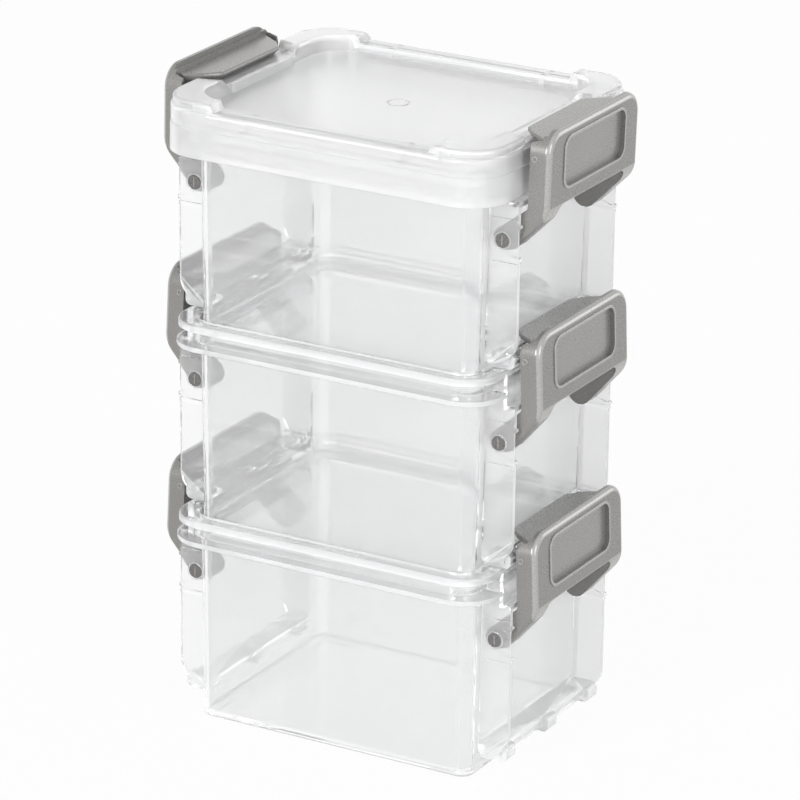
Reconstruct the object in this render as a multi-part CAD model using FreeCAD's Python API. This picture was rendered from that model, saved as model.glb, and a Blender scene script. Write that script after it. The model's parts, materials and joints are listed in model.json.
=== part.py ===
import FreeCAD, Part
import math
import os

os.makedirs("parts", exist_ok=True)

# Three-tier clip-latch storage box. Millimetres, +Z up, the box stands on z = 0 and is centred on x = 0, y = 0.
# The latch ends are at +X and -X, the long front is at -Y.

# Tub: compartment, the driving size of the whole stack

tier_names = ["bottom", "middle", "top"]
base_half_x = 37.0
base_half_y = 28.75
base_corner_radius = 3.4
draft = 0.6
mouth_half_x = base_half_x + draft
mouth_half_y = base_half_y + draft
mouth_corner_radius = base_corner_radius + draft
base_edge_radius = 0.7
inner_edge_radius = 0.9
wall = 1.2
floor_thickness = 1.3
foot_height = 0.3
foot_inset = 2.3
foot_band = 1.3
foot_reach_x = 9.0
foot_reach_y = 7.5

# Tub: two-flange rim

collar_bottom = 46.3
collar_thickness = 1.35
band_step_x = 1.1
band_step_y = 2.85
band_half_x = mouth_half_x + band_step_x
band_half_y = mouth_half_y + band_step_y
band_corner_radius = 6.0
band_height = 3.65
collar_reach_x = 4.3
bead_reach_x = 3.8
flange_reach_y = 3.1
collar_half_x = band_half_x + collar_reach_x
collar_half_y = band_half_y + flange_reach_y
bead_half_x = band_half_x + bead_reach_x
bead_half_y = band_half_y + flange_reach_y
flange_corner_radius = band_corner_radius + flange_reach_y
bead_bottom = collar_bottom + collar_thickness + band_height
bead_thickness = 1.7
flange_edge_radius = 0.45
rim_top = bead_bottom + bead_thickness

# Stack: how deep each tub's latch ledge feet sit below the rim that carries them

nest_depth = 3.95
tier_pitch = rim_top - nest_depth

# Tub: hinge wings and the box section between them

wing_inset_y = 4.85
wing_outer_y = base_half_y - wing_inset_y
wing_thickness = 1.1
wing_reach = 2.1
wing_bottom = 5.2
wing_corner_radius = 6.2
wing_root_depth = 0.5
end_plate_half_x = collar_half_x
end_plate_thickness = 1.2
end_plate_top_drop = 0.8
end_plate_top = rim_top - end_plate_top_drop
wing_half_x = end_plate_half_x + wing_reach
lip_drop = 3.1
lip_bottom = collar_bottom - lip_drop
lip_thickness = 1.2
lip_setback = 0.1
lip_half_x = wing_half_x - lip_setback

# Hinge

pin_inset = 4.1
pin_drop = 8.2
pin_x = wing_half_x - pin_inset
pin_z = lip_bottom - pin_drop
pin_radius = 1.7
pin_clearance = 0.05
pin_end_proud = 0.2
pin_end_y = wing_outer_y + pin_end_proud

# Wing: lead-in ramp to the pin hole, and its stiffening ribs

ramp_near_setback = 0.8
ramp_near_x = pin_x - ramp_near_setback
ramp_near_up = 1.9
ramp_near_down = 2.3
ramp_far_up = 3.7
ramp_far_down = 4.2
ramp_depth = 0.55
ramp_overrun = 0.6
upper_rib_rise = 5.1
lower_rib_drop = 5.4
wing_rib_setback = 2.4
wing_rib_inner_x = pin_x - wing_rib_setback
wing_rib_height = 0.8
wing_rib_relief = 0.4
nub_radius = 0.55

# Tub: latch ledge and its three feet, near the floor at each end

ledge_rise = 3.9
ledge_top = nest_depth + ledge_rise
ledge_plate = 1.3
ledge_setback = 0.2
ledge_half_x = end_plate_half_x - ledge_setback
ledge_skirt = 1.2
ledge_skirt_lift = 1.35
ledge_skirt_bottom = nest_depth + ledge_skirt_lift
ledge_foot_reach = 1.4
ledge_foot_half_x = ledge_half_x + ledge_foot_reach
ledge_foot_width = 4.4
ledge_foot_radius = 1.4
ledge_root_depth = 0.5

# Lid height above its skirt, which hangs just below the collar: its deck stands where a tub's latch ledge would

skirt_drop = 0.85
skirt_bottom = collar_bottom - skirt_drop
deck_height = ledge_top + tier_pitch - skirt_bottom

# Clip, measured from its hinge axis, x outward

clip_side_gap = 0.8
clip_half_y = wing_outer_y - wing_thickness - clip_side_gap
hook_gap = 0.4
hook_underside = skirt_bottom + deck_height + hook_gap - pin_z
hook_thickness = 1.8
face_x = 10.15
face_thickness = 1.8
face_rise = 4.0
face_top = hook_underside + face_rise
face_bottom = pin_drop
face_corner_radius = 5.5
face_edge_radius = 1.3
side_wall = 1.2
side_depth = 5.05
side_inner_x = face_x - side_depth
side_rise = 3.1
side_top = hook_underside + side_rise
side_slope = 1.8
side_inner_top = side_top - side_slope
side_bottom_drop = 0.1
side_bottom = face_bottom - side_bottom_drop
web_step_back = 0.25
web_step_down = 0.4
web_step_x = side_inner_x - web_step_back
web_step_z = side_bottom - web_step_down
web_knee_back = 2.05
web_knee_down = 1.9
web_knee_x = side_inner_x - web_knee_back
web_knee_z = side_bottom - web_knee_down
strap_top = 8.9
strap_bend_back = 0.44
strap_bend_down = 2.3
strap_bend_x = face_x - strap_bend_back
strap_bend_z = strap_top - strap_bend_down
strap_low_back = 1.68
strap_low_down = 4.25
strap_low_x = face_x - strap_low_back
strap_low_z = strap_top - strap_low_down
strap_thickness = 1.5
boss_radius = 3.0
leg_width = 6.0
leg_inner_y = clip_half_y - leg_width
window_corner_radius = 2.2
hook_tip_x = -0.8
hook_tip_inset_y = 9.4
hook_tip_half_y = clip_half_y - hook_tip_inset_y
hook_shoulder_x = 2.2
hook_shoulder_inset_y = 5.8
hook_shoulder_half_y = clip_half_y - hook_shoulder_inset_y
hook_root_back = 3.75
hook_root_x = face_x - hook_root_back
hook_root_inset_y = 3.0
hook_root_half_y = clip_half_y - hook_root_inset_y
hook_tip_edge_radius = 0.5
hook_lead_in = 1.0
ridge_inset_y = 1.1
ridge_half_y = clip_half_y - ridge_inset_y
ridge_step_x = 0.9
ridge_step_drop = 1.1
pocket_inset_y = 7.6
pocket_half_y = clip_half_y - pocket_inset_y
pocket_lift = 3.7
pocket_bottom = face_bottom + pocket_lift
pocket_drop = 2.8
pocket_top = face_top - pocket_drop
pocket_depth = 0.9
pocket_corner_radius = 2.5
pocket_bead_width = 0.7
pocket_bead_height = 0.3

# How far each closed clip leans in from upright at rest, in degrees

rest_lean_degrees = {
    "bottom_right": 2.5, "bottom_left": 2.5,
    "middle_right": 2.5, "middle_left": 2.5,
    "top_right": -1.5, "top_left": 0.8,
}

# Lid

deck_thickness = 1.2
lid_fit_gap = 0.4
skirt_wall_low = 1.0
skirt_wall_step = 0.9
skirt_wall_high = 0.75
skirt_step_height = 6.85
skirt_corner_radius = flange_corner_radius + lid_fit_gap
deck_edge_radius = 0.7
recess_depth = 2.1
recess_margin_x = 5.7
recess_margin_y = 4.1
recess_half_x = collar_half_x - recess_margin_x
recess_half_y = collar_half_y - recess_margin_y
recess_corner_radius = 8.4
landing_reach = 0.9
landing_half_x = recess_half_x - landing_reach
landing_margin = 0.6
landing_half_y = hook_tip_half_y + landing_margin
seat_rib_inset_x = 1.4
seat_rib_inset_y = 0.9
seat_rib_half_x = collar_half_x - seat_rib_inset_x
seat_rib_half_y = collar_half_y - seat_rib_inset_y
seat_rib_radius = 8.4
seat_rib_width = 0.9
lug_height = 1.8
lug_inset = 0.5
lug_length = 9.1
lug_end_x = recess_half_x - lug_length
lug_slope = 1.0
lug_wall = 1.2
lug_tip_gap = 1.2
lug_shoulder_gap = 2.0
lug_tip_slope = 3.6
lug_shoulder_slope = 1.2
lug_end_inner_y = hook_tip_half_y + lug_tip_gap
lug_end_outer_y = hook_shoulder_half_y + lug_shoulder_gap
lug_top_inner_y = lug_end_inner_y + lug_tip_slope
lug_top_outer_y = lug_end_outer_y + lug_shoulder_slope
brace_setback = 7.6
brace_x = lug_end_x - brace_setback
brace_width = 1.2
gate_radius = 2.8
gate_ring = 0.5
gate_depth = 0.3

# A margin that lets a cutting shape run clear of the face it opens

over = 1.0
far = 80.0

X_AXIS = FreeCAD.Vector(1, 0, 0)
Y_AXIS = FreeCAD.Vector(0, 1, 0)
Z_AXIS = FreeCAD.Vector(0, 0, 1)
ORIGIN = FreeCAD.Vector(0, 0, 0)

# How near two positions must be to count as the same

NEAR_SHARE = 1e-4


def vec(x, y, z):
    return FreeCAD.Vector(x, y, z)


def rounded_outline(half_x, half_y, radius, z):
    """A closed rounded rectangle, centred, at height z."""
    ix = half_x - radius
    iy = half_y - radius
    cut = radius * math.sqrt(0.5)
    edges = []
    corners = [(ix, iy, 1, 1), (-ix, iy, -1, 1), (-ix, -iy, -1, -1), (ix, -iy, 1, -1)]
    starts = []
    ends = []
    for cx, cy, sx, sy in corners:
        on_x = vec(cx + sx * radius, cy, z)
        on_y = vec(cx, cy + sy * radius, z)
        mid = vec(cx + sx * cut, cy + sy * cut, z)
        first, last = (on_x, on_y) if sx * sy > 0 else (on_y, on_x)
        starts.append(first)
        ends.append(last)
        edges.append(Part.Arc(first, mid, last).toShape())
    wire_edges = []
    for k in range(len(corners)):
        wire_edges.append(edges[k])
        nxt = starts[(k + 1) % len(corners)]
        wire_edges.append(Part.makeLine(ends[k], nxt))
    return Part.Wire(wire_edges)


def rounded_prism(half_x, half_y, radius, z_low, z_high):
    face = Part.Face(rounded_outline(half_x, half_y, radius, z_low))
    return face.extrude(vec(0, 0, z_high - z_low))


def tapered(low, high):
    """A solid between two rounded outlines, each (half_x, half_y, radius, z)."""
    return Part.makeLoft([rounded_outline(*low), rounded_outline(*high)], True, True)


def block(x_low, x_high, y_low, y_high, z_low, z_high):
    return Part.makeBox(x_high - x_low, y_high - y_low, z_high - z_low, vec(x_low, y_low, z_low))


def prism_y(points, y_low, y_high):
    """A prism along Y with the given (x, z) corners."""
    corners = [vec(x, y_low, z) for x, z in points]
    face = Part.Face(Part.makePolygon(corners + [corners[0]]))
    return face.extrude(vec(0, y_high - y_low, 0))


def rod_y(radius, x, z, y_low, y_high):
    return Part.makeCylinder(radius, y_high - y_low, vec(x, y_low, z), Y_AXIS)


def edges_at_z(shape, z):
    """Edges that lie wholly at height z."""
    found = []
    for edge in shape.Edges:
        box = edge.BoundBox
        if abs(box.ZMin - z) < NEAR_SHARE and abs(box.ZMax - z) < NEAR_SHARE:
            found.append(edge)
    return found


def softened(shape, radius, edges):
    """The shape with its named edges rounded, or as it was if the rounding can't close."""
    if not edges:
        return shape
    try:
        rounded = shape.makeFillet(radius, edges)
        if rounded.isValid() and rounded.Volume > 0:
            return rounded
    except Exception:
        pass
    return shape


def both_ends(shape):
    return [shape, shape.mirror(ORIGIN, X_AXIS)]


def both_sides(shape):
    return [shape, shape.mirror(ORIGIN, Y_AXIS)]


def one_solid(shape):
    """The single solid of a finished piece, with needless seams taken out."""
    refined = shape.removeSplitter()
    solids = refined.Solids
    if len(solids) == 1:
        return solids[0]
    return max(solids, key=lambda s: s.Volume)


def make_compartment_body():
    outer = tapered(
        (base_half_x, base_half_y, base_corner_radius, foot_height),
        (mouth_half_x, mouth_half_y, mouth_corner_radius, collar_bottom))
    outer = softened(outer, base_edge_radius, edges_at_z(outer, foot_height))
    collar_top = collar_bottom + collar_thickness
    collar = rounded_prism(collar_half_x, collar_half_y, flange_corner_radius, collar_bottom, collar_top)
    collar = softened(collar, flange_edge_radius, edges_at_z(collar, collar_bottom))
    band = rounded_prism(band_half_x, band_half_y, band_corner_radius, collar_top, bead_bottom)
    bead = rounded_prism(bead_half_x, bead_half_y, flange_corner_radius, bead_bottom, rim_top)
    bead = softened(bead, flange_edge_radius, edges_at_z(bead, rim_top))
    body = outer.fuse([collar, band, bead])
    return body


def make_compartment_hollow():
    collar_top = collar_bottom + collar_thickness
    floor_top = foot_height + floor_thickness
    inner = tapered(
        (base_half_x - wall, base_half_y - wall, base_corner_radius - wall, floor_top),
        (mouth_half_x - wall, mouth_half_y - wall, mouth_corner_radius - wall, collar_top))
    inner = softened(inner, inner_edge_radius, edges_at_z(inner, floor_top))
    pocket = rounded_prism(band_half_x - wall, band_half_y - wall, band_corner_radius - wall,
                           collar_top, rim_top + over)
    return inner, pocket


def make_wing_profile():
    """The wing plate's outline on its -Y face, with a rounded lower outer corner."""
    y = -wing_outer_y
    root_x = base_half_x - wing_root_depth
    r = wing_corner_radius
    cut = r * (1 - math.sqrt(0.5))
    lip_top = lip_bottom + lip_thickness
    a = vec(root_x, y, wing_bottom)
    b = vec(wing_half_x - r, y, wing_bottom)
    c = vec(wing_half_x - cut, y, wing_bottom + cut)
    d = vec(wing_half_x, y, wing_bottom + r)
    e = vec(wing_half_x, y, lip_top)
    f = vec(end_plate_half_x, y, lip_top)
    g = vec(end_plate_half_x, y, end_plate_top)
    h = vec(bead_half_x, y, end_plate_top)
    i = vec(bead_half_x, y, bead_bottom)
    j = vec(root_x, y, bead_bottom)
    edges = [Part.makeLine(a, b), Part.Arc(b, c, d).toShape()]
    for first, last in ((d, e), (e, f), (f, g), (g, h), (h, i), (i, j), (j, a)):
        edges.append(Part.makeLine(first, last))
    return Part.Face(Part.Wire(edges))


def make_wing():
    plate = make_wing_profile().extrude(vec(0, wing_thickness, 0))
    inner_y = -wing_outer_y + wing_thickness
    # Lead-in ramp on the inner face: deepest at the outer edge, fading out at the pin hole
    far_x = wing_half_x + ramp_overrun
    run_share = (far_x - ramp_near_x) / (wing_half_x - ramp_near_x)
    near_top = vec(ramp_near_x, inner_y, pin_z + ramp_near_up)
    near_low = vec(ramp_near_x, inner_y, pin_z - ramp_near_down)
    far_top = vec(far_x, inner_y, pin_z + ramp_near_up + (ramp_far_up - ramp_near_up) * run_share)
    far_low = vec(far_x, inner_y, pin_z - ramp_near_down - (ramp_far_down - ramp_near_down) * run_share)
    deep = ramp_depth * run_share
    deep_top = vec(far_x, inner_y - deep, far_top.z)
    deep_low = vec(far_x, inner_y - deep, far_low.z)
    faces = []
    for loop in ((near_top, near_low, far_low, far_top), (near_top, near_low, deep_low, deep_top),
                 (far_top, far_low, deep_low, deep_top)):
        faces.append(Part.Face(Part.makePolygon(list(loop) + [loop[0]])))
    for loop in ((near_top, far_top, deep_top), (near_low, far_low, deep_low)):
        faces.append(Part.Face(Part.makePolygon(list(loop) + [loop[0]])))
    ramp = Part.makeSolid(Part.makeShell(faces))
    if ramp.Volume < 0:
        ramp.reverse()
    plate = plate.cut(ramp)
    # Two level ribs on the outer face, one above and one below the pin
    outer_y = -wing_outer_y
    ribs = []
    for rib_z in (pin_z + upper_rib_rise, pin_z - lower_rib_drop):
        ribs.append(block(wing_rib_inner_x, wing_half_x, outer_y - wing_rib_relief, outer_y + wing_rib_relief,
                          rib_z - wing_rib_height / 2, rib_z + wing_rib_height / 2))
    # Small round nubs on the outer edge at the mouth of the ramp
    for nub_z in (pin_z + ramp_far_up, pin_z - ramp_far_down):
        ribs.append(rod_y(nub_radius, wing_half_x, nub_z, outer_y, inner_y))
    plate = plate.fuse(ribs)
    hole = rod_y(pin_radius + pin_clearance, pin_x, pin_z, outer_y - over, inner_y + over)
    return plate.cut(hole)


def make_end_section():
    """The rim between the wings: top flange, end plate and the lip under it, open from below."""
    y = wing_outer_y
    flange = block(band_half_x - wall / 2, bead_half_x, -y, y, bead_bottom, rim_top)
    flange = softened(flange, flange_edge_radius,
                      [e for e in flange.Edges
                       if e.BoundBox.XMin > bead_half_x - NEAR_SHARE and e.BoundBox.ZMin > rim_top - NEAR_SHARE])
    plate = block(end_plate_half_x - end_plate_thickness, end_plate_half_x, -y, y, lip_bottom, end_plate_top)
    lip = block(end_plate_half_x - end_plate_thickness, lip_half_x, -y, y, lip_bottom,
                lip_bottom + lip_thickness)
    return [flange, plate, lip]


def make_ledge():
    """The latch ledge near the floor: a shelf with a short skirt, carried on three rounded feet."""
    root_x = base_half_x - ledge_root_depth
    y = wing_outer_y - wing_thickness / 2
    shelf = block(root_x, ledge_half_x, -y, y, ledge_top - ledge_plate, ledge_top)
    skirt = block(ledge_half_x - ledge_skirt, ledge_half_x, -y, y, ledge_skirt_bottom, ledge_top)
    pieces = [shelf, skirt]
    side_y = wing_outer_y - wing_thickness - ledge_foot_width / 2
    for centre in (-side_y, 0, side_y):
        foot = block(root_x, ledge_foot_half_x, centre - ledge_foot_width / 2, centre + ledge_foot_width / 2,
                     nest_depth, ledge_top)
        outer_edges = [e for e in foot.Edges
                       if e.BoundBox.XMin > ledge_foot_half_x - NEAR_SHARE and e.BoundBox.ZLength < NEAR_SHARE]
        foot = softened(foot, ledge_foot_radius, outer_edges)
        pieces.append(foot)
    return pieces


def make_corner_feet():
    """Low L-shaped feet under the four corners of the floor."""
    half_x = base_half_x - foot_inset
    half_y = base_half_y - foot_inset
    radius = base_corner_radius - foot_inset / 2
    outer = rounded_prism(half_x, half_y, radius, 0, foot_height + floor_thickness / 2)
    inner = rounded_prism(half_x - foot_band, half_y - foot_band, radius - foot_band, 0,
                          foot_height + floor_thickness / 2)
    ring = outer.cut(inner)
    gap_x = half_x - foot_reach_x
    gap_y = half_y - foot_reach_y
    ring = ring.cut(block(-gap_x, gap_x, -far, far, -over, far))
    ring = ring.cut(block(-far, far, -gap_y, gap_y, -over, far))
    return ring.Solids


def make_tub():
    body = make_compartment_body()
    cutters = []
    for sign in (-1, 1):
        x_low = band_half_x if sign > 0 else -far
        x_high = far if sign > 0 else -band_half_x
        cutters.append(block(x_low, x_high, -wing_outer_y, wing_outer_y, collar_bottom - over, rim_top + over))
    body = body.cut(cutters)
    added = []
    wing = make_wing()
    for side in both_sides(wing):
        added.extend(both_ends(side))
    for piece in make_end_section() + make_ledge():
        added.extend(both_ends(piece))
    added.extend(make_corner_feet())
    body = body.fuse(added)
    inner, pocket = make_compartment_hollow()
    body = body.cut([inner, pocket])
    return one_solid(body)


def lid_outline(half_grow, z, radius_grow):
    return (collar_half_x + lid_fit_gap + half_grow, collar_half_y + lid_fit_gap + half_grow,
            skirt_corner_radius + radius_grow, z)


def lug_end_loop(inner_y, outer_y, z):
    """A six-sided band across the lid at height z; its edges slant with the hooks' shoulders."""
    near_x = recess_half_x
    far_x = collar_half_x + over
    loop = [(far_x, outer_y), (near_x, inner_y), (-near_x, inner_y), (-far_x, outer_y),
            (-far_x, -outer_y), (-near_x, -inner_y), (near_x, -inner_y), (far_x, -outer_y)]
    corners = [vec(x, y, z) for x, y in loop]
    return Part.makePolygon(corners + [corners[0]])


def make_lug_end_cut(z_low, z_high, grow):
    """The clear band for the hooks between the lugs, widening upward as the lug ends slope."""
    low = lug_end_loop(lug_end_inner_y + grow, lug_end_outer_y + grow, z_low)
    high = lug_end_loop(lug_top_inner_y + grow, lug_top_outer_y + grow, z_high)
    return Part.makeLoft([low, high], True, True)


def make_lid():
    lower = tapered(lid_outline(skirt_wall_low, 0, skirt_wall_low),
                    lid_outline(skirt_wall_step, skirt_step_height, skirt_wall_step))
    upper = tapered(lid_outline(skirt_wall_high, skirt_step_height, skirt_wall_high),
                    lid_outline(skirt_wall_high, deck_height, skirt_wall_high))
    upper = softened(upper, deck_edge_radius, edges_at_z(upper, deck_height))
    shell = lower.fuse(upper)
    # Raised corner lugs
    top_half_x = collar_half_x + lid_fit_gap + skirt_wall_high - lug_inset
    top_half_y = collar_half_y + lid_fit_gap + skirt_wall_high - lug_inset
    lug_radius = skirt_corner_radius + skirt_wall_high - lug_inset
    lug_top = deck_height + lug_height
    deck_under = deck_height - deck_thickness
    lug_ring = rounded_prism(top_half_x, top_half_y, lug_radius, deck_under, lug_top)
    lug_ring = softened(lug_ring, deck_edge_radius, edges_at_z(lug_ring, lug_top))
    low = lug_end_x - lug_slope * deck_thickness / lug_height
    high = lug_end_x + lug_slope
    points = [(-low, deck_under), (low, deck_under), (high, lug_top), (high, lug_top + over),
              (-high, lug_top + over), (-high, lug_top)]
    lug_ring = lug_ring.cut([prism_y(points, -far, far), make_lug_end_cut(deck_under, lug_top, 0)])
    # Underside hollow, panel tray and seat rib
    cavity = rounded_prism(collar_half_x + lid_fit_gap, collar_half_y + lid_fit_gap, skirt_corner_radius,
                           -over, deck_under)
    panel_top = deck_height - recess_depth
    panel_under = panel_top - deck_thickness
    tray = rounded_prism(recess_half_x + deck_thickness, recess_half_y + deck_thickness,
                         recess_corner_radius + deck_thickness, panel_under, deck_under)
    recess = rounded_prism(recess_half_x, recess_half_y, recess_corner_radius, panel_top, lug_top + over)
    seat_low = rim_top - skirt_bottom
    seat = rounded_prism(seat_rib_half_x, seat_rib_half_y, seat_rib_radius, seat_low, deck_under)
    seat = seat.cut(rounded_prism(seat_rib_half_x - seat_rib_width, seat_rib_half_y - seat_rib_width,
                                  seat_rib_radius - seat_rib_width, seat_low - over, deck_under + over))
    shell = shell.cut(cavity)
    braces = []
    for sign in (-1, 1):
        low_x = sign * brace_x - brace_width / 2
        for low_y, high_y in ((-collar_half_y - lid_fit_gap, -recess_half_y - deck_thickness / 2),
                              (recess_half_y + deck_thickness / 2, collar_half_y + lid_fit_gap)):
            braces.append(block(low_x, low_x + brace_width, low_y, high_y, seat_low, deck_under))
    shell = shell.fuse([tray, seat] + braces + lug_ring.Solids)
    shell = shell.cut(recess)
    # Landings for the hooks at both ends
    landing = block(landing_half_x, recess_half_x + deck_thickness / 2, -landing_half_y, landing_half_y,
                    panel_top - deck_thickness / 2, deck_height)
    shell = shell.fuse(both_ends(landing))
    # Hollow undersides of the lugs
    hollow = rounded_prism(top_half_x - lug_wall, top_half_y - lug_wall, lug_radius - lug_wall,
                           deck_under - over, lug_top - lug_wall)
    hollow = hollow.cut(rounded_prism(recess_half_x + lug_wall, recess_half_y + lug_wall,
                                      recess_corner_radius + lug_wall, deck_under - over - over, lug_top))
    hollow = hollow.cut(block(-lug_end_x - lug_slope - lug_wall, lug_end_x + lug_slope + lug_wall, -far, far,
                              -over, far))
    hollow = hollow.cut(make_lug_end_cut(deck_under - over - over, lug_top, lug_wall))
    seat_keep = rounded_prism(seat_rib_half_x, seat_rib_half_y, seat_rib_radius, deck_under - over, deck_under)
    seat_keep = seat_keep.cut(rounded_prism(seat_rib_half_x - seat_rib_width, seat_rib_half_y - seat_rib_width,
                                            seat_rib_radius - seat_rib_width, deck_under - over - over,
                                            deck_under + over))
    hollow = hollow.cut(seat_keep)
    shell = shell.cut(hollow.Solids)
    # Round gate mark in the middle of the panel
    ring = Part.makeCylinder(gate_radius, gate_depth + over, vec(0, 0, panel_top - gate_depth), Z_AXIS)
    ring = ring.cut(Part.makeCylinder(gate_radius - gate_ring, gate_depth + over + over,
                                      vec(0, 0, panel_top - gate_depth - over), Z_AXIS))
    shell = shell.cut(ring)
    return one_solid(shell)


def strap_outline(inset):
    """Outer curve of the clip in its (x, z) section, moved inward by inset, from the ridge to the boss."""
    reach = math.hypot(strap_low_x, strap_low_z)
    turn = math.atan2(strap_low_z, strap_low_x) - math.acos(boss_radius / reach)
    foot_radius = boss_radius - inset
    foot = (foot_radius * math.cos(turn), foot_radius * math.sin(turn))
    top = (face_x - inset, face_top)
    straight = (face_x - inset, strap_top)
    half_turn = turn / 2
    bend = (strap_bend_x - inset * math.cos(half_turn), strap_bend_z - inset * math.sin(half_turn))
    low = (strap_low_x - inset * math.cos(turn), strap_low_z - inset * math.sin(turn))
    return top, straight, bend, low, foot


def arc_xz(first, mid, last, y):
    return Part.Arc(vec(first[0], y, first[1]), vec(mid[0], y, mid[1]), vec(last[0], y, last[1])).toShape()


def line_xz(first, last, y):
    return Part.makeLine(vec(first[0], y, first[1]), vec(last[0], y, last[1]))


def make_skin():
    """Face plate and the two curved straps, in one even thickness."""
    outer = strap_outline(0)
    inner = strap_outline(strap_thickness)
    face_inner_x = face_x - face_thickness
    y = -clip_half_y
    inner_top = (face_inner_x, face_top)
    inner_straight = (face_inner_x, strap_top)
    edges = [line_xz(outer[0], outer[1], y), arc_xz(outer[1], outer[2], outer[3], y),
             line_xz(outer[3], outer[4], y), line_xz(outer[4], inner[4], y), line_xz(inner[4], inner[3], y),
             arc_xz(inner[3], inner[2], inner_straight, y), line_xz(inner_straight, inner_top, y),
             line_xz(inner_top, outer[0], y)]
    return Part.Face(Part.Wire(edges)).extrude(vec(0, clip_half_y + clip_half_y, 0))


def make_side(y_low, y_high, outer_top, inner_top):
    """A closed side wall of the clip: plate side, stepped web and boss, cut off along a line at the top."""
    outer = strap_outline(0)
    reach = math.hypot(web_knee_x, web_knee_z)
    turn = math.atan2(-web_knee_z, -web_knee_x) - math.asin(boss_radius / reach)
    run = math.sqrt(reach * reach - boss_radius * boss_radius)
    touch = (web_knee_x + run * math.cos(turn), web_knee_z + run * math.sin(turn))
    boss_far = (-boss_radius * math.cos(math.pi / 5), -boss_radius * math.sin(math.pi / 5))
    y = y_low
    top_outer = (face_x, outer_top)
    top_inner = (side_inner_x, inner_top)
    edges = [line_xz(top_outer, outer[1], y), arc_xz(outer[1], outer[2], outer[3], y),
             line_xz(outer[3], outer[4], y), arc_xz(outer[4], boss_far, touch, y),
             line_xz(touch, (web_knee_x, web_knee_z), y),
             line_xz((web_knee_x, web_knee_z), (web_step_x, web_step_z), y),
             line_xz((web_step_x, web_step_z), (side_inner_x, side_bottom), y),
             line_xz((side_inner_x, side_bottom), top_inner, y), line_xz(top_inner, top_outer, y)]
    return Part.Face(Part.Wire(edges)).extrude(vec(0, y_high - y_low, 0))


def make_clip_envelope():
    """The clip's outer skin as a solid: curved side view, rounded upper corners and softened outer edges."""
    outer = strap_outline(0)
    back_x = -boss_radius - boss_radius
    boss_back = (-boss_radius, 0)
    boss_under = (-boss_radius * math.sqrt(0.5), -boss_radius * math.sqrt(0.5))
    y = -clip_half_y
    edges = [line_xz(outer[0], outer[1], y), arc_xz(outer[1], outer[2], outer[3], y),
             line_xz(outer[3], outer[4], y), arc_xz(outer[4], boss_under, boss_back, y),
             line_xz(boss_back, (back_x, 0), y), line_xz((back_x, 0), (back_x, face_top), y),
             line_xz((back_x, face_top), outer[0], y)]
    solid = Part.Face(Part.Wire(edges)).extrude(vec(0, clip_half_y + clip_half_y, 0))
    frame = rounded_prism(face_top, clip_half_y, face_corner_radius, -far, far)
    frame.rotate(ORIGIN, Y_AXIS, 90)
    lower = block(-far, far, -clip_half_y, clip_half_y, -far, 0)
    solid = solid.common(frame.fuse(lower)).removeSplitter()
    chosen = []
    for edge in solid.Edges:
        box = edge.BoundBox
        middle = edge.valueAt((edge.FirstParameter + edge.LastParameter) / 2)
        on_face = box.XMin > face_x - NEAR_SHARE
        seam = box.YLength > clip_half_y and abs(middle.z - face_top) > NEAR_SHARE
        on_side = abs(abs(middle.y) - clip_half_y) < NEAR_SHARE and box.YLength < NEAR_SHARE
        behind = middle.x < -boss_radius + NEAR_SHARE
        if (on_face and not seam) or (on_side and not behind):
            chosen.append(edge)
    return softened(solid, face_edge_radius, chosen)


def make_hook():
    """The hook plate: straight tip, rounded shoulders, and a lead-in bevel under its free edges."""
    points = [(hook_tip_x, -hook_tip_half_y), (hook_shoulder_x, -hook_shoulder_half_y),
              (hook_root_x, -hook_root_half_y), (face_x - face_thickness / 2, -hook_root_half_y)]
    loop = points + [(x, -y) for x, y in reversed(points)]
    corners = [vec(x, y, hook_underside) for x, y in loop]
    plate = Part.Face(Part.makePolygon(corners + [corners[0]])).extrude(vec(0, 0, hook_thickness))
    tip_edges = [e for e in plate.Edges
                 if e.BoundBox.ZLength > hook_thickness / 2 and e.BoundBox.XMax < hook_shoulder_x + hook_thickness]
    plate = softened(plate, hook_thickness, tip_edges)
    top_z = hook_underside + hook_thickness
    top_tip = [e for e in edges_at_z(plate, top_z) if e.BoundBox.XMax < hook_root_x]
    plate = softened(plate, hook_tip_edge_radius, top_tip)
    lead_in = [e for e in edges_at_z(plate, hook_underside) if e.BoundBox.XMax < hook_root_x + NEAR_SHARE]
    return plate.makeChamfer(hook_lead_in, lead_in)


def pocket_prism(grow, x_low, x_high):
    """The pocket's rounded rectangle in the face, as a prism along X."""
    half_z = (pocket_top - pocket_bottom) / 2 + grow
    mid_z = (pocket_top + pocket_bottom) / 2
    shape = rounded_prism(half_z, pocket_half_y + grow, pocket_corner_radius + grow, x_low, x_high)
    shape.rotate(ORIGIN, Y_AXIS, 90)
    shape.translate(vec(0, 0, mid_z))
    return shape


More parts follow.
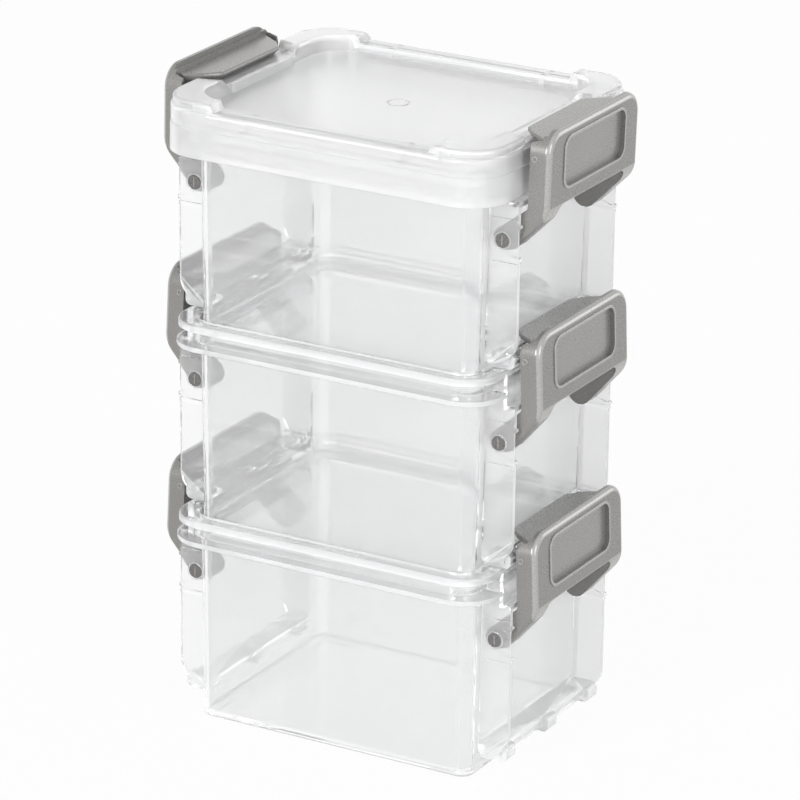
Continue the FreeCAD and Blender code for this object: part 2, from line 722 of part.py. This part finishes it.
def make_clip():
    """One clip at +X, hinge axis on the origin."""
    skin = make_skin()
    # Window between the two legs, with rounded upper corners
    window = rounded_prism(face_bottom + far, leg_inner_y, window_corner_radius, -far, far)
    window.rotate(ORIGIN, Y_AXIS, 90)
    window.translate(vec(0, 0, -far))
    skin = skin.cut(window)
    pieces = []
    for side in both_sides(make_side(-clip_half_y, -clip_half_y + side_wall, side_top, side_inner_top)):
        pieces.append(side)
    leg_top = face_bottom + side_wall
    for side in both_sides(make_side(-leg_inner_y - side_wall, -leg_inner_y, leg_top, leg_top)):
        pieces.append(side)
    for boss in both_sides(rod_y(boss_radius, 0, 0, -clip_half_y, -leg_inner_y)):
        pieces.append(boss)
    pieces.append(make_hook())
    hook_top = hook_underside + hook_thickness
    back_x = face_x - face_thickness
    step_z = face_top - ridge_step_drop
    ridge = prism_y([(back_x + face_thickness / 2, step_z), (back_x - ridge_step_x, step_z),
                     (back_x - ridge_step_x, hook_top - hook_thickness / 2),
                     (back_x + face_thickness / 2, hook_top - hook_thickness / 2)],
                    -ridge_half_y, ridge_half_y)
    pieces.append(ridge)
    body = skin.fuse(pieces)
    body = one_solid(body.common(make_clip_envelope()))
    # Pocket in the face with a fine raised bead round it
    bead = pocket_prism(pocket_bead_width, face_x - face_thickness / 2, face_x + pocket_bead_height)
    bead = softened(bead, pocket_bead_height / 2, [e for e in bead.Edges if e.BoundBox.XMin > face_x])
    body = body.fuse(bead)
    body = body.cut(pocket_prism(0, face_x - pocket_depth, face_x + over))
    pins = [pin for pin in both_sides(rod_y(pin_radius, 0, 0, -pin_end_y, -clip_half_y + side_wall))]
    return one_solid(body.fuse(pins))


def moved(shape, x, y, z):
    copy = shape.copy()
    copy.translate(vec(x, y, z))
    return copy


tub = make_tub()
lid = make_lid()
clip = make_clip()

pieces = {"lid": moved(lid, 0, 0, tier_pitch * (len(tier_names) - 1) + skirt_bottom)}
for index, tier in enumerate(tier_names):
    base = tier_pitch * index
    pieces["tub_" + tier] = moved(tub, 0, 0, base)
    for side, turn in (("right", 0), ("left", 180)):
        key = tier + "_" + side
        leaning = clip.copy()
        leaning.rotate(ORIGIN, Y_AXIS, -rest_lean_degrees[key])
        leaning.rotate(ORIGIN, Z_AXIS, turn)
        x = pin_x if turn == 0 else -pin_x
        pieces["clip_" + key] = moved(leaning, x, 0, base + pin_z)

for name in sorted(pieces):
    pieces[name].exportStep("parts/" + name + ".step")
    print(name, pieces[name].isValid(), len(pieces[name].Solids), round(pieces[name].Volume, 1))
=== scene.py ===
import json
import math

import bmesh
import bpy
from mathutils import Matrix, Vector
from mathutils.bvhtree import BVHTree


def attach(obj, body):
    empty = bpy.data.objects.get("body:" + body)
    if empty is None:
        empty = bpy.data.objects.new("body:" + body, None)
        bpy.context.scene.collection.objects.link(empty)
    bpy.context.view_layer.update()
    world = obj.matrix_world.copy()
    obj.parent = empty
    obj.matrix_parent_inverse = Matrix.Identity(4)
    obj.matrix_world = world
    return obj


# Three-tier clip-latch storage box. Everything is in metres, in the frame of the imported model.

MM = 0.001

# Camera, fitted to the photographed view

CAMERA_AZIMUTH = math.radians(29.512)
CAMERA_ELEVATION = math.radians(20.257)
CAMERA_ROLL = math.radians(0.692)
CAMERA_DISTANCE = 1.198884
CAMERA_AIM = Vector((0, 0, 0.073))
CAMERA_SLIDE_RIGHT = 1.218 * MM
CAMERA_SLIDE_UP = 5.842 * MM
CAMERA_LENS = 226.757
SENSOR_WIDTH = 36.0
CAMERA_NEAR = 0.05
CAMERA_FAR = 20

# Plastics: the index of refraction, the share of light that passes through, and the share that acts as metal

PLASTIC_IOR = 1.49
CLEAR_TRANSMISSION = 0.69
# The rounded corners and pin-hole collars pass more light in a lighter tint: painted light, a whitish band of
# light gathered in the curve
CORNER_PAINTED_LIGHT_TRANSMISSION = 0.82
# Edges and the tubs' foot pass less light and show their tint: painted white light on edges, painted grey
# shade at the foot
PAINTED_LIGHT_AND_SHADE_TRANSMISSION = 0.35
FROST_TRANSMISSION = 0.53
CLIP_METALLIC = 0.3

# Colours, linear

WHITE = (1, 1, 1, 1)
CLEAR_TINT = (0.88, 0.883, 0.887, 1)
# Painted light: the lighter tint of the rounded corners and the pin-hole collars
CORNER_PAINTED_LIGHT_TINT = (0.97, 0.975, 0.98, 1)
# Painted light: the tint of the edges of clear and frosted plastic, which look white from the light gathered
# in them
EDGE_PAINTED_LIGHT_TINT = (0.86, 0.866, 0.872, 1)
# Painted shade: a dark tint on the clear edge round a tub's foot, for the grey band seen there
BASE_PAINTED_SHADE_TINT = (0.62, 0.625, 0.625, 1)
FROST_TINT = (0.96, 0.96, 0.965, 1)
CLIP_GREY = (0.32, 0.315, 0.305, 1)
CLIP_GREY_DARK = (0.203, 0.199, 0.19, 1)
POCKET_GREY = (0.352, 0.346, 0.335, 1)
POCKET_GREY_DARK = (0.265, 0.26, 0.252, 1)
# Painted highlight: a lighter grey for the bead round a clip's pocket and the rounded rim of its face plate;
# its light end also paints the glint on the mould marks
BEAD_HIGHLIGHT_GREY = (0.46, 0.455, 0.44, 1)
BEAD_HIGHLIGHT_GREY_DARK = (0.38, 0.375, 0.365, 1)
PIN_GREY = (0.24, 0.235, 0.228, 1)
PIN_GREY_DARK = (0.085, 0.083, 0.08, 1)

# Surface patterns: scale per metre, detail and roughness of the noise

WAVES = (55, 2, 0.4)
HAZE = (120, 2, 0.4)
CLOUD = (60, 3, 0.5)
GRAIN = (1500, 2, 0.5)
FLECK = (4000, 2, 0.5)
FLOW = (90, 3, 0.5)

# The span that a pattern sets: of the surface's roughness, or of the step from a dark to a light colour

CLEAR_ROUGHNESS = (0.02, 0.06)
PAINTED_LIGHT_ROUGHNESS = (0.13, 0.19)
FROST_ROUGHNESS = (0.18, 0.26)
CLIP_ROUGHNESS = (0.26, 0.29)
FLECK_LIGHTENS = (0.36, 0.4)
FLOW_LIGHTENS = (0, 0.3)

# Relief of a pattern: strength and depth

WAVE_RELIEF = (0.08, 0.6 * MM)
GRAIN_RELIEF = (0.1, 0.15 * MM)
FLECK_RELIEF = (0.01, 0.05 * MM)

# Choosing faces: how deep clear plastic runs behind a face painted white with light, how deep a clip's bead,
# rim and pocket lie under its foremost level, and which directions count as level, sideways or round

EDGE_DEPTH = 1.7 * MM
EDGE_START = 0.02 * MM
BASE_BAND = 1.5 * MM
BEAD_MOST = 0.28 * MM
POCKET_LEAST = 0.95 * MM
POCKET_MOST = 1.4 * MM
RIM_MOST = 1.5 * MM
RIM_TURN = 0.3
LEVEL = 0.999
MOSTLY = 0.9
CORNER_TURN = 0.15
CORNER_TILT = 0.3

# Mould marks: the ridge across a pin end, the ejector ring on a clip's side, placed from the hinge axis, and
# the collar of a pin hole

RIDGE_HALF_LENGTH = 1.35 * MM
RIDGE_HALF_WIDTH = 0.16 * MM
RIDGE_HEIGHT = 0.1 * MM
RIDGE_STEPS = 8
RIDGE_TAPER = 4
RIDGE_TIP_SHARE = 0.01
LOOP_SIDES = 8
RING_RADIUS = 0.6 * MM
RING_WIDTH = 0.2 * MM
RING_STEPS = 24
RING_OUT = 6.3 * MM
RING_UP = 20 * MM
SIDE_STEP = 1 * MM
COLLAR_RADIUS = 2.02 * MM
COLLAR_WIDTH = 0.22 * MM
COLLAR_HEIGHT = 0.12 * MM
PIN_PROUD = 0.2 * MM

# Light: the lamps with name, place, size and power in watts, the world's light from level to straight up, and
# the floor with the share of its shadow that shows

LAMPS = [
    ("key", (-0.15, -1.2, 0.45), (0.45, 0.45), 8.6),
    ("side", (1.08, -0.42, 0.4), (0.3, 0.6), 3.8),
    ("back", (-0.3, 1.05, 0.5), (0.9, 0.9), 1.2),
    ("rear", (0.75, 0.95, 0.3), (0.6, 0.6), 2.5),
]
LAMP_AIM = Vector((0, 0, 0.08))
WORLD_LIGHT = 0.5
ZENITH_LIGHT = 0.41
FLOOR_HALF = 2.5
FLOOR_COLOUR = (0.86, 0.86, 0.86, 1)
FLOOR_ROUGHNESS = 0.9
FLOOR_SHOWS_SHADE = 0.04

# Light bounces: the thin clear walls pass light on many times before it leaves them

LIGHT_BOUNCES = 96
GLOSSY_BOUNCES = 96
DIFFUSE_BOUNCES = 8


def new_material(name):
    material = bpy.data.materials.new(name)
    material.use_nodes = True
    tree = material.node_tree
    shader = tree.nodes["Principled BSDF"]
    return material, tree, shader


def add_node(tree, kind, **values):
    node = tree.nodes.new(kind)
    for key, value in values.items():
        setattr(node, key, value)
    return node


def object_noise(tree, pattern):
    """Noise on the object's own coordinates, so that it stays put in every view."""
    scale, detail, roughness = pattern
    place = add_node(tree, "ShaderNodeTexCoord")
    noise = add_node(tree, "ShaderNodeTexNoise")
    noise.inputs["Scale"].default_value = scale
    noise.inputs["Detail"].default_value = detail
    noise.inputs["Roughness"].default_value = roughness
    tree.links.new(place.outputs["Object"], noise.inputs["Vector"])
    return noise.outputs["Fac"]


def add_relief(tree, shader, height, relief):
    """Fine relief on the surface, from a pattern taken as its height."""
    strength, depth = relief
    bump = add_node(tree, "ShaderNodeBump")
    bump.inputs["Strength"].default_value = strength
    bump.inputs["Distance"].default_value = depth
    tree.links.new(height, bump.inputs["Height"])
    tree.links.new(bump.outputs["Normal"], shader.inputs["Normal"])


def spread(tree, value, span):
    """A value from 0 to 1 spread over a span."""
    node = add_node(tree, "ShaderNodeMapRange")
    node.inputs["To Min"].default_value, node.inputs["To Max"].default_value = span
    tree.links.new(value, node.inputs["Value"])
    return node.outputs["Result"]


def set_plastic(shader, colour, transmission):
    shader.inputs["Base Color"].default_value = colour
    shader.inputs["Transmission Weight"].default_value = transmission
    shader.inputs["IOR"].default_value = PLASTIC_IOR


def clear_inside(tree, shader):
    """Inside the plastic a ray meets a smooth boundary that passes or mirrors it and takes no light away."""
    inside = add_node(tree, "ShaderNodeNewGeometry")
    glass = add_node(tree, "ShaderNodeBsdfGlass")
    glass.inputs["Color"].default_value = WHITE
    glass.inputs["Roughness"].default_value = 0
    glass.inputs["IOR"].default_value = PLASTIC_IOR
    mix = add_node(tree, "ShaderNodeMixShader")
    tree.links.new(inside.outputs["Backfacing"], mix.inputs["Fac"])
    tree.links.new(shader.outputs["BSDF"], mix.inputs[1])
    tree.links.new(glass.outputs["BSDF"], mix.inputs[2])
    tree.links.new(mix.outputs["Shader"], tree.nodes["Material Output"].inputs["Surface"])


def make_clear_plastic():
    """Clear moulded plastic with a slight haze and long, very shallow waves from the mould."""
    material, tree, shader = new_material("clear_plastic_look")
    set_plastic(shader, CLEAR_TINT, CLEAR_TRANSMISSION)
    haze = object_noise(tree, HAZE)
    tree.links.new(spread(tree, haze, CLEAR_ROUGHNESS), shader.inputs["Roughness"])
    add_relief(tree, shader, object_noise(tree, WAVES), WAVE_RELIEF)
    clear_inside(tree, shader)
    return material


def make_painted_light_clear(name, tint, transmission):
    """Clear plastic where light runs deep behind the surface, given its own tint and share of light passing
    through as painted light: with a light tint the white light gathered in edges, corners and collars, with a
    dark tint the painted grey shade round a tub's foot.
    """
    material, tree, shader = new_material(name)
    set_plastic(shader, tint, transmission)
    haze = object_noise(tree, HAZE)
    tree.links.new(spread(tree, haze, PAINTED_LIGHT_ROUGHNESS), shader.inputs["Roughness"])
    clear_inside(tree, shader)
    return material


def make_frosted_plastic():
    """Milky moulded plastic with a fine matte grain."""
    material, tree, shader = new_material("frosted_plastic_look")
    set_plastic(shader, FROST_TINT, FROST_TRANSMISSION)
    cloud = object_noise(tree, CLOUD)
    tree.links.new(spread(tree, cloud, FROST_ROUGHNESS), shader.inputs["Roughness"])
    add_relief(tree, shader, object_noise(tree, GRAIN), GRAIN_RELIEF)
    clear_inside(tree, shader)
    return material


def make_grey_plastic(name, dark, light):
    """Satin silver-grey plastic with a fine metallic fleck."""
    material, tree, shader = new_material(name)
    shader.inputs["Metallic"].default_value = CLIP_METALLIC
    fleck = object_noise(tree, FLECK)
    flow = object_noise(tree, FLOW)
    mix = add_node(tree, "ShaderNodeMix", data_type="RGBA")
    mix.inputs["A"].default_value = dark
    mix.inputs["B"].default_value = light
    add = add_node(tree, "ShaderNodeMath", operation="ADD")
    tree.links.new(spread(tree, fleck, FLECK_LIGHTENS), add.inputs[0])
    tree.links.new(spread(tree, flow, FLOW_LIGHTENS), add.inputs[1])
    tree.links.new(add.outputs["Value"], mix.inputs["Factor"])
    tree.links.new(mix.outputs["Result"], shader.inputs["Base Color"])
    tree.links.new(spread(tree, fleck, CLIP_ROUGHNESS), shader.inputs["Roughness"])
    add_relief(tree, shader, fleck, FLECK_RELIEF)
    return material


def deep_faces(mesh):
    """Faces behind which the plastic runs deep, found by looking straight inward from each face."""
    corners = [vertex.co.copy() for vertex in mesh.vertices]
    tree = BVHTree.FromPolygons(corners, [tuple(face.vertices) for face in mesh.polygons])
    deep = []
    for face in mesh.polygons:
        start = face.center - face.normal * EDGE_START
        hit = tree.ray_cast(start, -face.normal)
        if hit[0] is not None and hit[3] > EDGE_DEPTH:
            deep.append(face)
    return deep


def deep_level_faces(mesh):
    """The deep faces that are level or upright, without the rounded ones between them."""
    return [face for face in deep_faces(mesh) if max(abs(value) for value in face.normal) > LEVEL]


def corner_faces(mesh):
    """The rounded upright corners of a tub."""
    chosen = []
    for face in mesh.polygons:
        turn = min(abs(face.normal.x), abs(face.normal.y))
        if turn > CORNER_TURN and abs(face.normal.z) < CORNER_TILT:
            chosen.append(face)
    return chosen


def base_edge_faces(mesh):
    """The rounded edge round the foot of a tub."""
    low = min(vertex.co.z for vertex in mesh.vertices)
    return [face for face in mesh.polygons
            if face.center.z < low + BASE_BAND and abs(face.normal.z) < LEVEL]


def pin_end_faces(mesh):
    """The two round pin ends of a clip, the faces farthest out along Y."""
    reach = max(abs(face.center.y) for face in mesh.polygons)
    return [face for face in mesh.polygons
            if abs(face.normal.y) > LEVEL and abs(face.center.y) > reach - EDGE_START]


def face_direction(mesh):
    """The direction in which a clip's face plate looks."""
    sideways = [face for face in mesh.polygons if abs(face.normal.x) > MOSTLY]
    outward = max(sideways, key=lambda face: face.area).normal.copy()
    if outward.x * mesh.polygons[0].center.x < 0:
        outward.negate()
    return outward


def depth_under_face(mesh):
    """Each face of a clip, how far it looks outward, and its depth under the face plate's foremost level."""
    outward = face_direction(mesh)
    rows = [(face, face.normal.dot(outward), face.center.dot(outward)) for face in mesh.polygons]
    top = max(place for face, facing, place in rows if facing > LEVEL)
    return [(face, facing, top - place) for face, facing, place in rows]


def pocket_faces(mesh):
    """The floor of the sunk pocket in a clip's face."""
    return [face for face, facing, depth in depth_under_face(mesh)
            if facing > LEVEL and POCKET_LEAST < depth < POCKET_MOST]


def painted_highlight_faces(mesh):
    """The fine raised bead round the pocket and the rounded rim of the face plate, given a lighter grey as a
    painted highlight.
    """
    chosen = []
    for face, facing, depth in depth_under_face(mesh):
        bead = facing > 0 and depth < BEAD_MOST
        rim = RIM_TURN < facing < LEVEL and BEAD_MOST < depth < RIM_MOST
        if bead or rim:
            chosen.append(face)
    return chosen


def dress_nodes(frame):
    """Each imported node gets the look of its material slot, and some of its faces another of its looks."""
    looks = {
        "clear_plastic": [
            (make_clear_plastic(), None),
            # Painted light: the rounded upright corners are painted lighter, as a whitish band of gathered
            # light
            (make_painted_light_clear("clear_plastic_painted_corner_light_look", CORNER_PAINTED_LIGHT_TINT, CORNER_PAINTED_LIGHT_TRANSMISSION), corner_faces),
            # Painted light: faces with plastic deep behind them are painted white, for the light gathered in
            # the edge
            (make_painted_light_clear("clear_plastic_painted_edge_light_look", EDGE_PAINTED_LIGHT_TINT, PAINTED_LIGHT_AND_SHADE_TRANSMISSION), deep_faces),
            # Painted shade: the rounded edge round a tub's foot is painted grey
            (make_painted_light_clear("clear_plastic_painted_base_shade_look", BASE_PAINTED_SHADE_TINT, PAINTED_LIGHT_AND_SHADE_TRANSMISSION), base_edge_faces),
        ],
        "frosted_plastic": [
            (make_frosted_plastic(), None),
            # Painted light: the lid's deep level and upright faces are painted white, for the light gathered
            # in its edges and ribs
            (make_painted_light_clear("frosted_plastic_painted_edge_light_look", EDGE_PAINTED_LIGHT_TINT, PAINTED_LIGHT_AND_SHADE_TRANSMISSION), deep_level_faces),
        ],
        "grey_plastic": [
            (make_grey_plastic("grey_plastic_look", CLIP_GREY_DARK, CLIP_GREY), None),
            (make_grey_plastic("grey_plastic_pocket_look", POCKET_GREY_DARK, POCKET_GREY), pocket_faces),
            # Painted highlight: the bead and the rounded rim of the face plate in a lighter grey
            (make_grey_plastic("grey_plastic_painted_highlight_look", BEAD_HIGHLIGHT_GREY_DARK, BEAD_HIGHLIGHT_GREY), painted_highlight_faces),
            (make_grey_plastic("grey_plastic_pin_look", PIN_GREY_DARK, PIN_GREY), pin_end_faces),
        ],
    }
    for part in frame["record"]["subparts"]:
        mesh = frame["nodes"][part["node"]].data
        mesh.materials.clear()
        for index, (material, chosen) in enumerate(looks[part["material_slot"]]):
            mesh.materials.append(material)
            for face in chosen(mesh) if chosen else mesh.polygons:
                face.material_index = index


def add_piece(name, shape, material, body):
    """A small piece made from a bmesh, smooth shaded, that moves with its body."""
    mesh = bpy.data.meshes.new(name)
    bmesh.ops.recalc_face_normals(shape, faces=shape.faces)
    shape.to_mesh(mesh)
    shape.free()
    for face in mesh.polygons:
        face.use_smooth = True
    mesh.materials.append(material)
    piece = bpy.data.objects.new(name, mesh)
    bpy.context.scene.collection.objects.link(piece)
    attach(piece, body)


def swept_loops(shape, loops, closed):
    """Faces between neighbouring loops of points; a closed sweep joins the last loop to the first."""
    rows = [[shape.verts.new(point) for point in loop] for loop in loops]
    count = len(rows[0])
    pairs = list(zip(rows, rows[1:]))
    if closed:
        pairs.append((rows[-1], rows[0]))
    for first, second in pairs:
        for k in range(count):
            after = (k + 1) % count
            shape.faces.new((first[k], first[after], second[after], second[k]))
    if not closed:
        shape.faces.new(rows[0])
        shape.faces.new(rows[-1])


def add_parting_ridge(name, centre, along, across, out, material, body):
    """The fine ridge that the mould halves leave across a pin end: a low half-round bar with tapered ends."""
    loops = []
    for step in range(RIDGE_STEPS + 1):
        share = 2 * step / RIDGE_STEPS - 1
        size = math.sqrt(max(1 - share ** RIDGE_TAPER, RIDGE_TIP_SHARE))
        loop = []
        for k in range(LOOP_SIDES):
            turn = 2 * math.pi * k / LOOP_SIDES
            loop.append(centre + along * (share * RIDGE_HALF_LENGTH)
                        + across * (RIDGE_HALF_WIDTH * size * math.cos(turn))
                        + out * (RIDGE_HEIGHT * size * math.sin(turn)))
        loops.append(loop)
    shape = bmesh.new()
    swept_loops(shape, loops, False)
    add_piece(name, shape, material, body)


def add_ring(name, centre, along, across, out, radius, width, height, material, body):
    """A raised round-topped ring on a flat side, such as an ejector's mark or the collar of a pin hole."""
    loops = []
    for step in range(RING_STEPS):
        turn = 2 * math.pi * step / RING_STEPS
        spoke = along * math.cos(turn) + across * math.sin(turn)
        loop = []
        for k in range(LOOP_SIDES):
            roll = 2 * math.pi * k / LOOP_SIDES
            loop.append(centre + spoke * (radius + width * math.cos(roll)) + out * (height * math.sin(roll)))
        loops.append(loop)
    shape = bmesh.new()
    swept_loops(shape, loops, True)
    add_piece(name, shape, material, body)


def add_clip_marks(frame):
    """Parting ridges on the pin ends, ejector rings on the clips' sides, and the collars of the pin holes."""
    # The ridges and ejector rings are real raised marks; their grey reaching up to the highlight grey is a
    # painted glint
    material = make_grey_plastic("grey_plastic_mark_look", POCKET_GREY_DARK, BEAD_HIGHLIGHT_GREY)
    # Painted light: the raised collars of the pin holes take the lighter corner look, for their bright ring
    collar = make_painted_light_clear("clear_plastic_painted_collar_light_look", CORNER_PAINTED_LIGHT_TINT, CORNER_PAINTED_LIGHT_TRANSMISSION)
    for part in frame["record"]["subparts"]:
        if part["material_slot"] != "grey_plastic":
            continue
        name = part["node"]
        mesh = frame["nodes"][name].data
        outward = face_direction(mesh)
        up = Vector((-outward.z, 0, outward.x))
        if up.z < 0:
            up.negate()
        ends = pin_end_faces(mesh)
        reach = max(abs(face.center.y) for face in ends)
        area = sum(face.area for face in ends)
        hinge = sum((face.center * face.area for face in ends), Vector()) / area
        flat = [abs(face.center.y) for face in mesh.polygons if abs(face.normal.y) > LEVEL]
        side = max(y for y in flat if y < reach - SIDE_STEP)
        for label, sign in (("front", -1), ("rear", 1)):
            out = Vector((0, sign, 0))
            pin_end = Vector((hinge.x, sign * reach, hinge.z))
            add_parting_ridge(name + "_pin_ridge_" + label, pin_end, up, outward, out, material, name)
            mark = hinge + outward * RING_OUT + up * RING_UP
            mark.y = sign * side
            add_ring(name + "_ejector_ring_" + label, mark, up, outward, out,
                     RING_RADIUS, RING_WIDTH, RING_WIDTH, material, name)
            hole = Vector((hinge.x, sign * (reach - PIN_PROUD), hinge.z))
            add_ring(name + "_hole_collar_" + label, hole, up, outward, out,
                     COLLAR_RADIUS, COLLAR_WIDTH, COLLAR_HEIGHT, collar, "box")


def share_of_white(tree, seen_share):
    """How much plain white a ray meets: seen_share for camera, mirror and see-through rays, else none."""
    path = add_node(tree, "ShaderNodeLightPath")
    seen = path.outputs["Is Camera Ray"]
    for ray in ("Is Glossy Ray", "Is Transmission Ray"):
        both = add_node(tree, "ShaderNodeMath", operation="MAXIMUM")
        tree.links.new(seen, both.inputs[0])
        tree.links.new(path.outputs[ray], both.inputs[1])
        seen = both.outputs["Value"]
    share = add_node(tree, "ShaderNodeMath", operation="MULTIPLY")
    share.inputs[1].default_value = seen_share
    tree.links.new(seen, share.inputs[0])
    return share.outputs["Value"]


def make_world():
    """White where it is seen, and a softer light for the rest, stronger from the sides than from above."""
    world = bpy.data.worlds.new("studio")
    bpy.context.scene.world = world
    world.use_nodes = True
    tree = world.node_tree
    tree.nodes.clear()
    light = add_node(tree, "ShaderNodeBackground")
    light.inputs["Color"].default_value = WHITE
    sky = add_node(tree, "ShaderNodeTexCoord")
    height = add_node(tree, "ShaderNodeSeparateXYZ")
    tree.links.new(sky.outputs["Generated"], height.inputs["Vector"])
    strength = spread(tree, height.outputs["Z"], (WORLD_LIGHT, ZENITH_LIGHT))
    tree.links.new(strength, light.inputs["Strength"])
    white = add_node(tree, "ShaderNodeBackground")
    white.inputs["Color"].default_value = WHITE
    white.inputs["Strength"].default_value = 1
    mix = add_node(tree, "ShaderNodeMixShader")
    out = add_node(tree, "ShaderNodeOutputWorld")
    tree.links.new(share_of_white(tree, 1), mix.inputs["Fac"])
    tree.links.new(light.outputs["Background"], mix.inputs[1])
    tree.links.new(white.outputs["Background"], mix.inputs[2])
    tree.links.new(mix.outputs["Shader"], out.inputs["Surface"])


def make_floor():
    """A white studio floor that keeps a faint shadow of the box."""
    shape = bmesh.new()
    for x, y in ((-1, -1), (1, -1), (1, 1), (-1, 1)):
        shape.verts.new((x * FLOOR_HALF, y * FLOOR_HALF, 0))
    shape.faces.new(shape.verts)
    mesh = bpy.data.meshes.new("floor")
    shape.to_mesh(mesh)
    shape.free()
    floor = bpy.data.objects.new("floor", mesh)
    bpy.context.scene.collection.objects.link(floor)
    material, tree, shader = new_material("floor_white")
    shader.inputs["Base Color"].default_value = FLOOR_COLOUR
    shader.inputs["Roughness"].default_value = FLOOR_ROUGHNESS
    shader.inputs["Specular IOR Level"].default_value = 0
    glow = add_node(tree, "ShaderNodeEmission")
    glow.inputs["Strength"].default_value = 1
    mix = add_node(tree, "ShaderNodeMixShader")
    tree.links.new(share_of_white(tree, 1 - FLOOR_SHOWS_SHADE), mix.inputs["Fac"])
    tree.links.new(shader.outputs["BSDF"], mix.inputs[1])
    tree.links.new(glow.outputs["Emission"], mix.inputs[2])
    tree.links.new(mix.outputs["Shader"], tree.nodes["Material Output"].inputs["Surface"])
    mesh.materials.append(material)


def make_lamps():
    for name, place, size, power in LAMPS:
        data = bpy.data.lights.new(name, "AREA")
        data.shape = "RECTANGLE"
        data.size, data.size_y = size
        data.energy = power
        lamp = bpy.data.objects.new(name, data)
        lamp.location = place
        lamp.rotation_mode = "QUATERNION"
        lamp.rotation_quaternion = (LAMP_AIM - Vector(place)).to_track_quat("-Z", "Y")
        bpy.context.scene.collection.objects.link(lamp)


def make_camera():
    back = Vector((math.sin(CAMERA_AZIMUTH) * math.cos(CAMERA_ELEVATION),
                   -math.cos(CAMERA_AZIMUTH) * math.cos(CAMERA_ELEVATION),
                   math.sin(CAMERA_ELEVATION)))
    right = Vector((math.cos(CAMERA_AZIMUTH), math.sin(CAMERA_AZIMUTH), 0))
    up = back.cross(right)
    rolled_right = right * math.cos(CAMERA_ROLL) + up * math.sin(CAMERA_ROLL)
    rolled_up = up * math.cos(CAMERA_ROLL) - right * math.sin(CAMERA_ROLL)
    data = bpy.data.cameras.new("camera")
    data.sensor_width = SENSOR_WIDTH
    data.lens = CAMERA_LENS
    data.clip_start = CAMERA_NEAR
    data.clip_end = CAMERA_FAR
    camera = bpy.data.objects.new("camera", data)
    place = CAMERA_AIM + back * CAMERA_DISTANCE + right * CAMERA_SLIDE_RIGHT + up * CAMERA_SLIDE_UP
    turn = Matrix((rolled_right, rolled_up, back)).transposed().to_4x4()
    camera.matrix_world = Matrix.Translation(place) @ turn
    bpy.context.scene.collection.objects.link(camera)
    bpy.context.scene.camera = camera


with open("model.json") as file:
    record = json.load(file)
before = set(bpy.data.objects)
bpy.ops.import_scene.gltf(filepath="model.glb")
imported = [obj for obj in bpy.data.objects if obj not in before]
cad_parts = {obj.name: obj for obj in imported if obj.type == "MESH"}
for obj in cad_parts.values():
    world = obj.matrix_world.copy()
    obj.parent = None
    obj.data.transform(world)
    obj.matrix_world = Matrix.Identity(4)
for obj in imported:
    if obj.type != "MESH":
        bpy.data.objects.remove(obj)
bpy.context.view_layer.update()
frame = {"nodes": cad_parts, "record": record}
scene = bpy.context.scene
scene.view_settings.view_transform = "Standard"
scene.cycles.max_bounces = LIGHT_BOUNCES
scene.cycles.transmission_bounces = LIGHT_BOUNCES
scene.cycles.glossy_bounces = GLOSSY_BOUNCES
scene.cycles.diffuse_bounces = DIFFUSE_BOUNCES
make_camera()
make_world()
make_lamps()
make_floor()
dress_nodes(frame)
add_clip_marks(frame)
